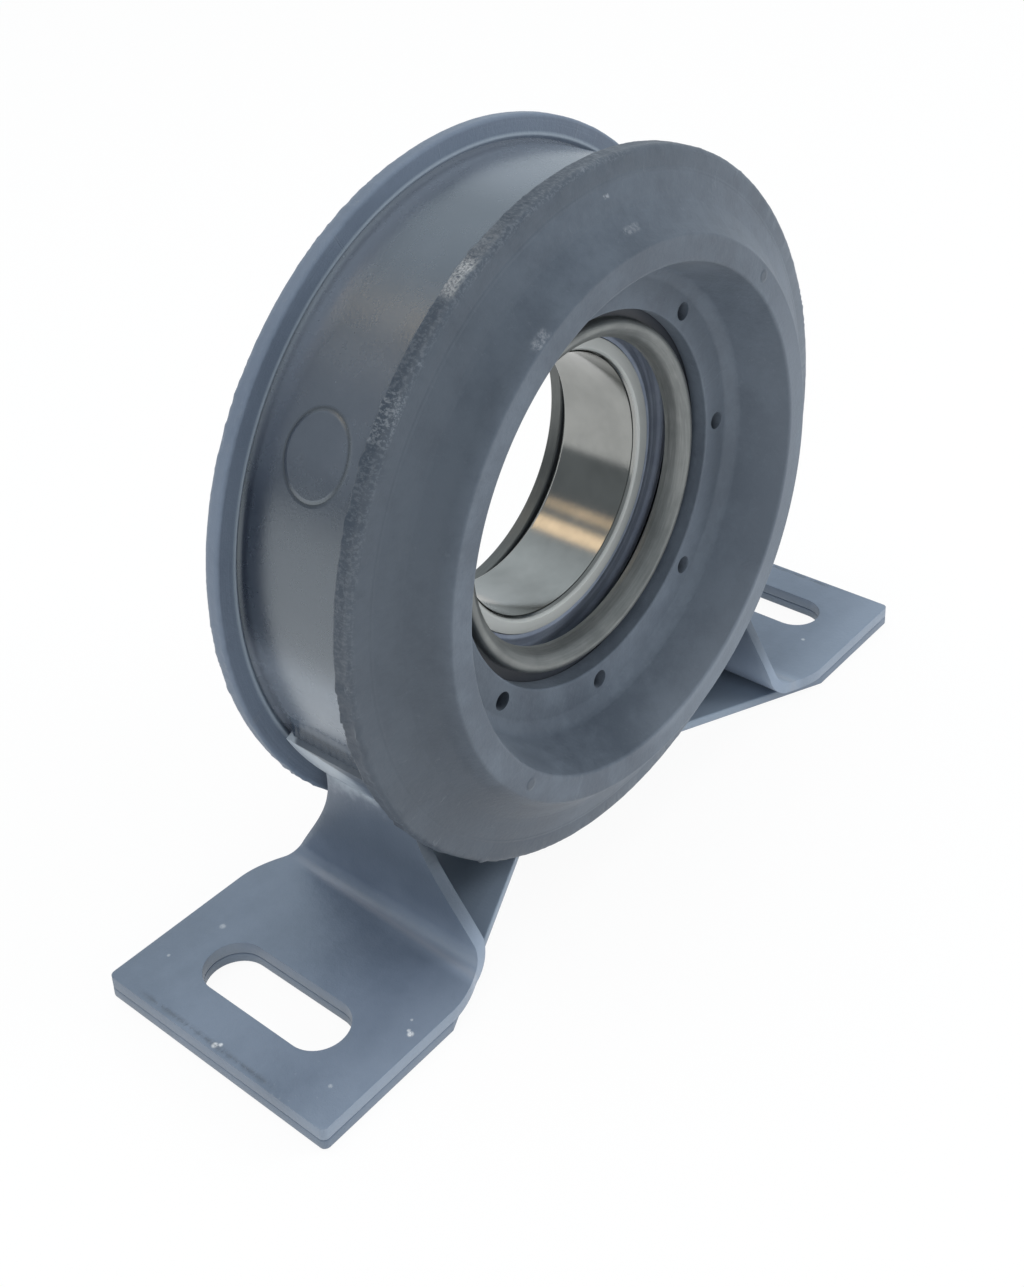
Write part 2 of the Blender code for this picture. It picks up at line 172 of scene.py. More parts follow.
seen = paper.node('ShaderNodeLightPath')
mirrored = Value(paper_tree, seen.socket.node.outputs["Is Glossy Ray"])
through = Value(paper_tree, seen.socket.node.outputs["Is Transmission Ray"])
glow = paper.node('ShaderNodeEmission', None, {"Color": (1, 1, 1, 1), "Strength": 1.0})
share = seen * direct_glow + mirrored.most(through) * mirrored_glow
mixed = paper.node('ShaderNodeMixShader', None, {0: share, 1: paper, 2: glow})
paper_tree.links.new(mixed.socket, paper_tree.nodes["Material Output"].inputs["Surface"])
table_mesh.materials.append(table_paper)

world = bpy.data.worlds.new("room")
bpy.context.scene.world = world
world.use_nodes = True
sky_tree = world.node_tree
sky_back = sky_tree.nodes["Background"]
direction = Value(sky_tree, sky_tree.nodes.new('ShaderNodeTexCoord').outputs["Generated"])
x, y, z = direction.parts()
window_side = (x * 0.77 + y * 0.64).rise(0.0, 0.75)
ceiling = z.rise(0.55, 0.90)
front_room = y.rise(-0.05, -0.55)
room_light = window_side * 0.62 + ceiling * 0.28 + front_room * 0.10 + 0.29
cool_white = (0.88, 0.95, 1.0, 1)
lamp_amber = (1.0, 0.76, 0.52, 1)
warm_lamps = 0.0
for lamp_way, inner, outer, strength in (
    ((-0.280, 0.549, 0.788), 0.9976, 0.9925, 2.1),
    ((-0.534, 0.516, 0.669), 0.9984, 0.9950, 1.3),
):
    warm_lamps = direction.along(lamp_way).rise(outer, inner) * strength + warm_lamps
seen = Value(sky_tree, sky_tree.nodes.new('ShaderNodeLightPath').outputs["Is Camera Ray"])
tint = warm_lamps.least(1.0).colours(cool_white, lamp_amber)
sky_tree.links.new((room_light + warm_lamps).most(seen).socket, sky_back.inputs["Strength"])
sky_tree.links.new(seen.colours(tint, (1, 1, 1, 1)).socket, sky_back.inputs["Color"])

lamp_target = Vector((0, 0, 0.04))
for lamp_name, place, size, power in (
    ("overhead_lamp", (-0.25, 0.10, 1.0), 0.9, 4.0),
    ("front_lamp", (0.95, -0.90, 0.45), 0.7, 11.0),
    ("left_lamp", (-0.90, -0.55, 0.30), 0.6, 4.0),
):
    lamp_data = bpy.data.lights.new(lamp_name, 'AREA')
    lamp_data.shape = 'DISK'
    lamp_data.size = size
    lamp_data.energy = power
    lamp = bpy.data.objects.new(lamp_name, lamp_data)
    bpy.context.scene.collection.objects.link(lamp)
    lamp.location = place
    lamp.visible_glossy = False
    lamp.rotation_euler = (lamp_target - Vector(place)).to_track_quat('-Z', 'Y').to_euler()


# Steel band: a spool rolled from sheet, with a flange turned out at each end, under black
# satin paint. It holds the rubber, and a plain round mark is stamped on its left side.
MM = 0.001
axis_height = 54.8
fit_gap = 0.3


def rounded(corners, longest=3.0, arc_step=11):
    """(radius, y, rounding) corners in millimetres, as a closed outline with round corners. A
    straight run gets a point near each end, and more where it is long."""
    rim = 0.12
    shortest = 0.8
    widest_reach = 0.47
    outline = []
    count = len(corners)
    for i in range(count):
        before, here, after = (Vector(corners[(i + k) % count][:2]) for k in (-1, 0, 1))
        size = corners[i][2]
        back, ahead = before - here, after - here
        half = back.angle(ahead) / 2
        if size <= 0 or half > math.radians(88):
            outline.append(tuple(here))
            continue
        reach = min(size / math.tan(half), widest_reach * back.length, widest_reach * ahead.length)
        size = reach * math.tan(half)
        start = here + back.normalized() * reach
        centre = here + (back.normalized() + ahead.normalized()).normalized() * (size / math.sin(half))
        turn = math.pi - 2 * half
        pieces = max(2, int(math.degrees(turn) / arc_step))
        arm = start - centre
        sign = 1.0 if back.x * ahead.y - back.y * ahead.x < 0 else -1.0
        for k in range(pieces + 1):
            a = sign * turn * k / pieces
            outline.append((
                centre.x + arm.x * math.cos(a) - arm.y * math.sin(a),
                centre.y + arm.x * math.sin(a) + arm.y * math.cos(a),
            ))
    full = []
    for i, point in enumerate(outline):
        a, b = Vector(point), Vector(outline[(i + 1) % len(outline)])
        full.append(tuple(a))
        run = (b - a).length
        if run > shortest:
            inner = max(1, math.ceil((run - 2 * rim) / longest))
            stops = [rim / run]
            stops += [(rim + (run - 2 * rim) * k / inner) / run for k in range(1, inner)]
            stops.append(1 - rim / run)
            full += [tuple(a.lerp(b, t)) for t in stops]
    return full


def outward(mesh):
    shell = bmesh.new()
    shell.from_mesh(mesh)
    bmesh.ops.recalc_face_normals(shell, faces=shell.faces)
    shell.to_mesh(mesh)
    shell.free()
    return mesh


def finished(name, mesh, material, sharp=38):
    """A plain mesh with outward faces and smooth shading between its sharp edges, in the scene."""
    outward(mesh)
    mesh.materials.clear()
    mesh.materials.append(material)
    mesh.shade_smooth()
    mesh.set_sharp_from_angle(angle=math.radians(sharp))
    piece = bpy.data.objects.new(name, mesh)
    bpy.context.scene.collection.objects.link(piece)
    return piece


def turned_mesh(name, outline, steps, hand=None):
    """A closed outline in millimetres turned about the shaft. A hand moves each point a little."""
    verts = []
    faces = []
    count = len(outline)
    for i in range(steps):
        a = 2 * math.pi * i / steps
        for r, y in outline:
            if hand:
                r, y = hand(r, y, a)
            verts.append((r * MM * math.sin(a), y * MM, (axis_height + r * math.cos(a)) * MM))
    for i in range(steps):
        j = (i + 1) % steps
        for k in range(count):
            m = (k + 1) % count
            faces.append((i * count + k, j * count + k, j * count + m, i * count + m))
    mesh = bpy.data.meshes.new(name)
    mesh.from_pydata(verts, [], faces)
    return mesh


def new_finish(name, fixed):
    """A material, its shader and the place on the piece that its pattern follows."""
    material = bpy.data.materials.new(name)
    material.use_nodes = True
    tree = material.node_tree
    shader = tree.nodes["Principled BSDF"]
    for socket, value in fixed.items():
        shader.inputs[socket].default_value = value
    place = Value(tree, tree.nodes.new('ShaderNodeTexCoord').outputs["Object"])
    return material, shader, place


def feed(shader, socket, value):
    shader.id_data.links.new(value.socket, shader.inputs[socket])


def round_shaft(place):
    """The place on a turned piece: its radius, its y, and a vector that runs round the shaft."""
    x, y, z = place.parts()
    up = z - axis_height * MM
    radius = (x * x + up * up) ** 0.5
    return radius, y, (x / radius).joined(y, up / radius)


def raised(height, amount, distance=0.0002):
    """A Bump that lifts the surface by a height pattern."""
    return height.node('ShaderNodeBump', None, {"Strength": amount, "Distance": distance, "Height": height})


def near_angle(around, degrees, spread):
    """1 close to an angle round the shaft, counted from the top towards +X, and 0 beyond the spread."""
    full_share = 0.45
    aim = (math.sin(math.radians(degrees)), 0.0, math.cos(math.radians(degrees)))
    outer, inner = math.cos(math.radians(spread)), math.cos(math.radians(spread * full_share))
    return around.along(aim).rise(outer, inner)


def black_paint(name, dark, pale, gloss, grain, shine=2.3):
    """Thin black paint on steel: fine orange peel, soft patches between dark and pale, dust specks."""
    dust = (0.38, 0.41, 0.44, 1)
    material, shader, place = new_finish(name, {"IOR": shine, "Specular Tint": (0.82, 0.93, 1.0, 1)})
    patches = place.speckle(38.0, 4.0, 0.6)
    cloud = place.speckle(160.0, 4.0, 0.7)
    tone = (patches * 0.6 + cloud * 0.4).rise(0.36, 0.64)
    base = tone.colours((*dark, 1), (*pale, 1))
    specks = place.cells(900.0).rise(0.16, 0.07) * place.speckle(70.0, 2.0).rise(0.60, 0.72)
    base = (specks * 0.25).colours(base, dust)
    feed(shader, "Base Color", base)
    feed(shader, "Roughness", (cloud * 0.16 + (gloss - 0.08)) + specks * 0.2)
    peel = place.speckle(grain, 3.0, 0.5) + place.speckle(grain * 4.2, 2.0, 0.5) * 0.35
    feed(shader, "Normal", raised(peel, 0.22, 0.00012))
    return material, shader, place, base, peel


band_radius = 48.6
band_sheet = 1.2
band_flange_radius = 51.4
band_half_width = 12.1
band_inside = band_radius - band_sheet
flange_inside = band_half_width - band_sheet
flange_edge = 0.3
outer_fillet = 1.3
inner_fillet = 2.3
mark_angle = math.radians(-61.6)
mark_half_length = 0.0060
mark_half_width = 0.0053
mark_groove = 0.085
band_outline = rounded([
    (band_flange_radius, band_half_width, flange_edge),
    (band_flange_radius, flange_inside, flange_edge),
    (band_radius, flange_inside, outer_fillet),
    (band_radius, -flange_inside, outer_fillet),
    (band_flange_radius, -flange_inside, flange_edge),
    (band_flange_radius, -band_half_width, flange_edge),
    (band_inside, -band_half_width, inner_fillet),
    (band_inside, band_half_width, inner_fillet),
])
band_paint, shader, place, base, peel = black_paint(
    "band_paint", (0.036, 0.044, 0.062), (0.052, 0.062, 0.083), 0.27, 2400.0)
radius, y, around = round_shaft(place)
mark_middle = (math.sin(mark_angle), math.cos(mark_angle))
x_part, _, z_part = around.parts()
arc_way = (x_part * mark_middle[1] - z_part * mark_middle[0]) * band_radius * MM
mark_side = (x_part * mark_middle[0] + z_part * mark_middle[1]).rise(0.9, 0.95)
mark_reach = ((arc_way * arc_way) / mark_half_length ** 2 + (y * y) / mark_half_width ** 2) ** 0.5
mark_ring = mark_reach.line(1, mark_groove) * mark_side
# Painted reflection: paler at the top and the foot, where the band mirrors the bright room and table, and
# darkest between them, where it mirrors the dark side of the room
painted_reflection_top = near_angle(around, -6.0, 66.0) * y.rise(0.0040, 0.0095) * 0.9
painted_reflection_top = painted_reflection_top.most(near_angle(around, 10.0, 26.0) * 0.6).most(near_angle(around, -54.0, 12.0) * 0.20)
painted_reflection_foot = near_angle(around, -102.5, 18.0) * 0.84
base = painted_reflection_top.most(painted_reflection_foot).colours(base, (0.160, 0.182, 0.218, 1))
painted_dark_reflection = near_angle(around, -82.0, 18.0) * 0.9
base = painted_dark_reflection.colours(base, (0.016, 0.020, 0.032, 1))
feed(shader, "Base Color", (mark_ring * 0.8).colours(base, (0.016, 0.018, 0.022, 1)))
smooth_ends = y.absolute().rise(0.0075, 0.0092, 0.35, 0.02)
feed(shader, "Normal", raised(peel * smooth_ends - mark_ring * 3.0, 0.3, 0.00014))
band = finished("band_shell", turned_mesh("band_shell", band_outline, 288), band_paint)
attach(band, "housing")
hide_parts("outer_band")


# Rubber cushion: one moulding, bonded round both flanges and down the inside of the band.
# It folds forward to a flat-topped crest, then back into a recess with a thin web over the sleeve.
def rubber_hand(r, y, a):
    """Mould flash and small unevenness on the rims, more of it near some angles round the shaft."""
    flash_from = 51.6
    top_limit = 52.78
    rear_share = 0.55
    ragged_spots = ((75, 8), (216, 9), (236, 10), (262, 16), (300, 14), (333, 14))
    around = Vector((math.sin(a) * 3.0, y * 0.05, math.cos(a) * 3.0))
    r += 0.04 * noise.noise(around)
    if r > flash_from:
        rough = noise.noise(Vector((math.sin(a) * 34, y * 0.6, math.cos(a) * 34)))
        fine = noise.noise(Vector((math.sin(a) * 95 + 7, y * 1.2, math.cos(a) * 95)))
        worn = max(0.0, rough) * 0.26 + max(0.0, fine) * 0.22
        degrees = math.degrees(a)
        near = 0.0
        for spot, spread in ragged_spots:
            near = max(near, 1.0 - abs((degrees - spot + 180) % 360 - 180) / spread)
        r += worn * (0.4 + 2.0 * near) * (rear_share if y > 0 else 1.0) - 0.12
        if math.cos(a) > 0.96:
            r = min(r, top_limit)
    return r, y


rim_radius = 52.8
front_rim = rim_radius - 0.45
rim_face = 13.1
rim_lip = 0.45
lip_foot_radius = 49.5
crest_face = 19.2
crest_outer_radius = 41.2
mouth_radius = 37.2
recess_radius = 34.2
web_face = 9.5
web_inner_radius = 28.2
vent_ring_radius = 30.9
vent_radius = 1.42
vent_count = 8
vent_reach = 6.6
lining_inner = band_inside - fit_gap - 1.2
hub_inner = 36.0
hub_outer = hub_inner + 2.2
hub_back = 15.2
sleeve_front = 6.3
lip_top = band_half_width - band_sheet - 0.05
lip_face = lip_top - fit_gap - rim_lip
wrap_radius = band_flange_radius + fit_gap
wrap_face = band_half_width + fit_gap
wrap_inner = band_inside - fit_gap
cushion_outline = rounded([
    (rim_radius, rim_face, 1.5),
    (rim_radius, lip_face, 0.5),
    (lip_foot_radius, lip_face, 0.25),
    (lip_foot_radius - 0.55, lip_top - 0.28, 0),
    (wrap_radius, lip_top, 0),
    (wrap_radius, wrap_face, 0),
    (wrap_inner, wrap_face, 0),
    (wrap_inner, -wrap_face, 0),
    (wrap_radius, -wrap_face, 0),
    (wrap_radius, -lip_top, 0),
    (lip_foot_radius, -lip_top, 0),
    (lip_foot_radius, -lip_face, 0.25),
    (front_rim, -lip_face, 0.4),
    (front_rim, -rim_face, 0.8),
    (front_rim - 3.2, -rim_face - 0.35, 0.8),
    (crest_outer_radius + 3.9, -rim_face - 1.8, 5.0),
    (crest_outer_radius + 1.3, -crest_face + 2.1, 3.0),
    (crest_outer_radius - 0.1, -crest_face, 0.45),
    (mouth_radius, -crest_face, 0.45),
    (mouth_radius - 1.0, -crest_face + 3.5, 4.0),
    (recess_radius + 0.6, -web_face - 1.2, 1.8),
    (recess_radius - 1.0, -web_face, 1.0),
    (web_inner_radius, -web_face, 0.3),
    (web_inner_radius, -sleeve_front - fit_gap, 0.1),
    (hub_inner, -sleeve_front - fit_gap, 0),
    (hub_inner, hub_back, 0.4),
    (hub_outer, hub_back, 0.6),
    (hub_outer + 0.9, -sleeve_front - 1.1, 3.0),
    (hub_outer + 2.6, -crest_face + 5.7, 2.0),
    (lining_inner - 1.8, -rim_face + 2.3, 3.0),
    (lining_inner, -band_half_width + 5.0, 2.0),
    (lining_inner, rim_face - 1.5, 0.6),
    (lining_inner + 1.2, rim_face, 0.8),
], longest=30.0, arc_step=18)
rubber, shader, place = new_finish("moulded_rubber", {
    "IOR": 1.55,
    "Specular Tint": (0.92, 0.96, 1.0, 1),
    "Sheen Weight": 0.10,
    "Sheen Roughness": 0.5,
    "Sheen Tint": (0.85, 0.92, 1.0, 1),
})
radius, y, around = round_shaft(place)
patches = place.speckle(34.0, 5.0, 0.62)
cloud = place.speckle(140.0, 5.0, 0.7)
grain = place.speckle(1400.0, 3.0, 0.6)
bloom = (patches * 0.45 + cloud * 0.35 + place.speckle(650.0, 4.0, 0.7) * 0.20).rise(0.40, 0.61)
base = bloom.colours((0.060, 0.076, 0.100, 1), (0.093, 0.115, 0.145, 1))
front_half = y.rise(-0.010, -0.012)
# Painted shade: darker on the left of the dish, on the crest at the top and in a band inside the rim
painted_dish_shade = near_angle(around, -90.0, 95.0) * radius.rise(0.0400, 0.0425) * 0.55
painted_dish_shade = painted_dish_shade.most(near_angle(around, 5.0, 50.0) * radius.rise(0.0365, 0.0375) * 0.25)
painted_dish_shade = painted_dish_shade.most(radius.rise(0.0470, 0.0500) * (near_angle(around, -35.0, 75.0) * 0.22 + 0.25))
base = (painted_dish_shade * y.rise(-0.0090, -0.0100)).colours(base, (0.028, 0.036, 0.048, 1))
rim_side = radius.rise(0.0515, 0.0520) * y.rise(-0.0126, -0.0116) * y.rise(-0.0090, -0.0100)
base = (rim_side * 0.95).colours(base, (0.028, 0.040, 0.058, 1))
# Painted light: paler in the lower right of the dish and on the recess wall there, and along the rear lip,
# with a painted highlight on the lip's inner edge
painted_recess_light = near_angle(around, 118.0, 75.0) * y.rise(-0.006, -0.009) * radius.rise(0.0345, 0.0370, 0.6, 1.0)
painted_slope_light = near_angle(around, 152.0, 38.0) * radius.rise(0.0345, 0.0375) * radius.rise(0.0405, 0.0375)
painted_recess_light = (painted_recess_light * 0.36).most(painted_slope_light * 0.50)
base = painted_recess_light.colours(base, (0.185, 0.215, 0.255, 1))
painted_lip_light = radius.rise(0.0483, 0.0490) * y.rise(0.006, 0.009)
base = (painted_lip_light * 0.55).colours(base, (0.175, 0.222, 0.300, 1))
painted_lip_highlight = radius.line(0.04975, 0.00045) * y.rise(0.006, 0.009)
base = (painted_lip_highlight * 0.7).colours(base, (0.36, 0.42, 0.48, 1))
# Scuffed on the outer rim, flaked along its front edge, torn at the upper left
scuffs = around.scaled((1.0, 26.0, 1.0)).speckle(26.0, 6.0, 0.72).rise(0.60, 0.72)
outer_rim = radius.rise(0.0500, 0.0524)
base = (scuffs * (outer_rim * 0.45 + 0.10)).colours(base, (0.185, 0.210, 0.245, 1))
front_edge = radius.rise(0.0513, 0.0519) * y.rise(-0.0098, -0.0106)
flakes = place.scaled((1.0, 0.5, 1.0)).speckle(2600.0, 4.0, 0.75).rise(0.47, 0.60)
bare_edge = near_angle(around, -53.0, 5.0) * 0.30
bare_edge = bare_edge.most(near_angle(around, -16.0, 28.0) * 0.16) + near_angle(around, 74.0, 12.0) * 0.15
bare_edge = bare_edge.most(near_angle(around, -62.0, 40.0) * 0.12)
base = (front_edge * flakes * bare_edge).colours(base, (0.34, 0.37, 0.40, 1))
torn = place.speckle(2600.0, 5.0, 0.75).rise(0.34, 0.64)
torn = torn * (near_angle(around, -32.0, 4.0) * 0.58 + near_angle(around, -27.0, 6.0) * 0.16)
base = (torn * front_edge * y.rise(-0.0128, -0.0120)).colours(base, (0.46, 0.47, 0.47, 1))
# Rubbed at three spots, and two small plain marks on the crest
crest_slope = radius.rise(0.0410, 0.0413) * radius.rise(0.0421, 0.0417)
rubbed = near_angle(around, -31.0, 2.6) * crest_slope * 0.42
crest_foot = radius.rise(0.0424, 0.0429) * radius.rise(0.0437, 0.0433)
rubbed = near_angle(around, 0.0, 2.6) * crest_foot * 0.32 + rubbed
nick = radius.rise(0.0472, 0.0475) * radius.rise(0.0480, 0.0477)
rubbed = near_angle(around, -2.3, 0.9) * nick * 0.6 + rubbed
rubbed = rubbed * place.speckle(2300.0, 5.0, 0.75).rise(0.40, 0.62)
vent_walls = y.rise(-0.00935, -0.0091) * y.rise(-0.0062, -0.0068)
vent_walls = vent_walls * radius.rise(0.0288, 0.0292) * radius.rise(0.0330, 0.0326)
base = (vent_walls * 0.8).colours(base, (0.078, 0.094, 0.118, 1))
base = rubbed.colours(base, (0.34, 0.36, 0.39, 1))
feed(shader, "Roughness", cloud * 0.2 + 0.46)
x_part, _, z_part = around.parts()
turning = (x_part * 1.5).joined(radius * 3600.0, z_part * 1.5).speckle(1.0, 2.0, 0.5)
border_line = radius.line(0.04905, 0.00030)
pips = 0.0
for pip_angle, pip_radius in ((46.0, 39.6), (-135.2, 39.1)):
    pip_x = math.sin(math.radians(pip_angle)) * pip_radius * MM
    pip_z = (math.cos(math.radians(pip_angle)) * pip_radius + axis_height) * MM
    pips = place.distance((pip_x, -crest_face * MM, pip_z)).rise(0.0011, 0.0006) + pips
feed(shader, "Base Color", (pips * 0.5).colours(base, (0.045, 0.055, 0.070, 1)))
relief = grain + place.speckle(5200.0, 2.0) * 0.4 + scuffs * 0.6
relief = relief + turning * (outer_rim * 0.8 + 0.25) + border_line * front_half * 1.2 + pips * 3.0
feed(shader, "Normal", raised(relief, 0.45, 0.00012))
cushion_blank = turned_mesh("cushion_blank", cushion_outline, 580, rubber_hand)
plain_cushion = finished("cushion_blank", cushion_blank, rubber)


def named_inputs(tree, values):
    """The node group's inputs by name: a whole number for a count, else a float."""
    sockets = {}
    for label in values:
        kind = 'NodeSocketInt' if label == "Count" else 'NodeSocketFloat'
        sockets[label] = tree.interface.new_socket(label, in_out='INPUT', socket_type=kind)
    return sockets


def plain_result(holder, tree, sockets, values):
    """The plain mesh that the node group makes of the holder, which is then removed."""
    modifier = holder.modifiers.new(tree.name, 'NODES')
    modifier.node_group = tree
    for label, value in values.items():
        modifier[sockets[label].identifier] = value
    bpy.context.view_layer.update()
    mesh = bpy.data.meshes.new_from_object(holder.evaluated_get(bpy.context.evaluated_depsgraph_get()))
    bpy.data.objects.remove(holder, do_unlink=True)
    return mesh


vent_tree = bpy.data.node_groups.new("vent_holes", 'GeometryNodeTree')
vent_tree.interface.new_socket("Geometry", in_out='INPUT', socket_type='NodeSocketGeometry')
vent_tree.interface.new_socket("Geometry", in_out='OUTPUT', socket_type='NodeSocketGeometry')
vent_values = {
    "Count": vent_count,
    "Ring Radius": vent_ring_radius * MM,
    "Hole Radius": vent_radius * MM,
    "Depth": vent_reach * MM,
    "Height": axis_height * MM,
    "Face": -web_face * MM,
}
vent_sockets = named_inputs(vent_tree, vent_values)
nodes = vent_tree.nodes
links = vent_tree.links
entry = nodes.new('NodeGroupInput')
leave = nodes.new('NodeGroupOutput')
ring = nodes.new('GeometryNodeMeshCircle')
links.new(entry.outputs["Count"], ring.inputs["Vertices"])
links.new(entry.outputs["Ring Radius"], ring.inputs["Radius"])
pin = nodes.new('GeometryNodeMeshCylinder')
pin.inputs["Vertices"].default_value = 32
links.new(entry.outputs["Hole Radius"], pin.inputs["Radius"])
links.new(entry.outputs["Depth"], pin.inputs["Depth"])
spread = nodes.new('GeometryNodeInstanceOnPoints')
links.new(ring.outputs["Mesh"], spread.inputs["Points"])
links.new(pin.outputs["Mesh"], spread.inputs["Instance"])
real = nodes.new('GeometryNodeRealizeInstances')
links.new(spread.outputs["Instances"], real.inputs["Geometry"])
where = nodes.new('ShaderNodeCombineXYZ')
links.new(entry.outputs["Face"], where.inputs["Y"])
links.new(entry.outputs["Height"], where.inputs["Z"])
stand = nodes.new('GeometryNodeTransform')
stand.inputs["Rotation"].default_value = (math.radians(90), 0.0, 0.0)
links.new(real.outputs["Geometry"], stand.inputs["Geometry"])
links.new(where.outputs["Vector"], stand.inputs["Translation"])
drill = nodes.new('GeometryNodeMeshBoolean')
drill.operation = 'DIFFERENCE'
drill.solver = 'EXACT'
links.new(entry.outputs["Geometry"], drill.inputs["Mesh 1"])
links.new(stand.outputs["Geometry"], drill.inputs["Mesh 2"])
dress = nodes.new('GeometryNodeSetMaterial')
dress.inputs["Material"].default_value = rubber
links.new(drill.outputs["Mesh"], dress.inputs["Geometry"])
links.new(dress.outputs["Geometry"], leave.inputs[0])
cushion = finished("cushion", plain_result(plain_cushion, vent_tree, vent_sockets, vent_values), rubber)
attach(cushion, "housing")
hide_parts("rubber_cushion")


# Bearing sleeve: a drawn and plated steel cup that the bearing is pressed into, with a rolled
# dust lip standing round the shaft at its front.
bearing_front = -2.1
bearing_back = 12.9
bearing_outer_radius = 33.9
sleeve_inner = bearing_outer_radius + fit_gap
sleeve_outer = sleeve_inner + 1.5
sleeve_back = 15.0
stop_radius = 30.0
stop_front = 4.9
lip_outer = 26.45
lip_inner = 23.3
sleeve_outline = rounded([
    (sleeve_outer, sleeve_back, 0.3),
    (sleeve_outer, -sleeve_front, 1.2),
    (lip_outer, -sleeve_front, 0.3),
    (lip_outer, -8.1, 1.1),
    (25.4, -8.5, 1.2),
    (23.9, -7.4, 1.8),
    (lip_inner, -5.8, 0.9),
    (lip_inner, -stop_front, 0.3),
    (stop_radius, -stop_front, 0.3),
    (stop_radius, bearing_front - fit_gap, 0.1),
    (sleeve_inner, bearing_front - fit_gap, 0.1),
    (sleeve_inner, sleeve_back, 0.3),
], longest=1.5)
plated, shader, place = new_finish("dull_plating", {})
radius, y, around = round_shaft(place)
streaks = around.scaled((1.0, 900.0, 1.0)).speckle(6.0, 4.0, 0.6)
stain = place.speckle(90.0, 4.0, 0.65)
tone = (streaks * 0.4 + stain * 0.6).rise(0.36, 0.64)
plating = tone.colours((0.185, 0.196, 0.195, 1), (0.265, 0.277, 0.272, 1))
# Painted shade: dark and less metallic in the gap behind the rubber web; darker also at the rear
shade_behind_web = radius.rise(0.0264, 0.0267) * y.rise(0.0, -0.004)
plating = (y.rise(0.0150, 0.0165) * 0.35).colours(plating, (0.050, 0.055, 0.052, 1))
feed(shader, "Base Color", shade_behind_web.colours(plating, (0.045, 0.052, 0.066, 1)))
feed(shader, "Metallic", 0.75 - shade_behind_web * 0.7)
feed(shader, "Roughness", stain * 0.25 + 0.32)
feed(shader, "Normal", raised(streaks + place.speckle(1800.0) * 0.5, 0.25, 0.0001))
sleeve = finished("sleeve", turned_mesh("sleeve", sleeve_outline, 256), plated)
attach(sleeve, "housing")
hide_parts("bearing_sleeve")


# Rear shield: a pressed ring that closes the back of the sleeve, with its own dust lip. Only its
# inner edge is seen in the photograph, through the bore.
shield_front = 15.9
shield_back = 17.2
shield_lip_back = 18.2
shield_inner = 23.85
rear_outline = rounded([
    (bearing_outer_radius, shield_back, 0.4),
    (bearing_outer_radius, bearing_back + fit_gap, 0.2),
    (stop_radius, bearing_back + fit_gap, 0.2),
    (stop_radius, shield_front, 0.5),
    (shield_inner, shield_front, 0.4),
    (shield_inner, shield_lip_back, 0.2),
    (26.7, shield_lip_back, 0.7),
    (27.3, shield_back, 0.6),
], longest=1.5)
shield = finished("back_shield", turned_mesh("back_shield", rear_outline, 256), plated)
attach(shield, "housing")
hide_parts("rear_shield")


# Inner ring of the bearing: hardened steel, ground bright all over, with a chamfer at each end
# of its bore and a groove for the balls. It turns with the shaft.
bore_radius = 20.0
bearing_centre = 5.4
groove = 4.2
pitch_radius = 27.0
inner_shoulder = 24.6
seal_land = 22.65
seal_step = 2.6
bore_chamfer = 0.75
groove_half = math.degrees(math.acos((pitch_radius - inner_shoulder) / groove))
groove_points = []
for k in range(13):
    a = math.radians(180 - groove_half + 2 * groove_half * k / 12)
    groove_points.append((pitch_radius + groove * math.cos(a), bearing_centre + groove * math.sin(a), 0))
inner_outline = rounded([
    (seal_land, bearing_back, 0.3),
    (seal_land, bearing_back - seal_step, 0.2),
    (inner_shoulder, bearing_back - seal_step, 0.2),
] + groove_points + [
    (inner_shoulder, bearing_front + seal_step, 0.2),
    (seal_land, bearing_front + seal_step, 0.2),
    (seal_land, bearing_front, 0.1),
    (bore_radius + bore_chamfer, bearing_front, 0.3),
    (bore_radius, bearing_front + bore_chamfer, 0.35),
    (bore_radius, bearing_back - bore_chamfer, 0.25),
    (bore_radius + bore_chamfer, bearing_back, 0.2),
], longest=1.5)
ground, shader, place = new_finish("ground_steel", {})
radius, y, around = round_shaft(place)
grinding = around.scaled((1.0, 2600.0, 1.0)).speckle(3.0, 5.0, 0.7)
haze = place.speckle(120.0, 3.0, 0.6)
steel = haze.rise(0.3, 0.7).colours((0.275, 0.282, 0.272, 1), (0.325, 0.332, 0.320, 1))
# The front face of the ring is duller and paler than its bore
land = radius.rise(0.0202, 0.0206) * y.rise(-0.0012, -0.0018)
feed(shader, "Base Color", (land * 0.8).colours(steel, (0.50, 0.52, 0.51, 1)))
feed(shader, "Metallic", 1.0 - land * 0.75)
feed(shader, "Roughness", grinding * 0.10 + 0.08 + land * 0.30)
feed(shader, "Normal", raised(grinding, 0.15, 0.00005))
inner_ring = finished("inner_race", turned_mesh("inner_race", inner_outline, 256), ground)
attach(inner_ring, "inner_ring")
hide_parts("bearing_inner_ring")


# Outer ring of the bearing: hardened steel with a groove for the balls, pressed into the sleeve
# and hidden behind the seals.
outer_shoulder = 29.4
outer_half = math.degrees(math.acos((outer_shoulder - pitch_radius) / groove))
outer_groove = []
for k in range(13):
    a = math.radians(-outer_half + 2 * outer_half * k / 12)
    outer_groove.append((pitch_radius + groove * math.cos(a), bearing_centre + groove * math.sin(a), 0))
outer_outline = rounded([
    (bearing_outer_radius, bearing_back, 0.8),
    (bearing_outer_radius, bearing_front, 0.8),
    (outer_shoulder, bearing_front, 0.2),
] + outer_groove + [(outer_shoulder, bearing_back, 0.2)], longest=1.5)
outer_ring = finished("outer_race", turned_mesh("outer_race", outer_outline, 192), ground)
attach(outer_ring, "housing")
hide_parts("bearing_outer_ring")


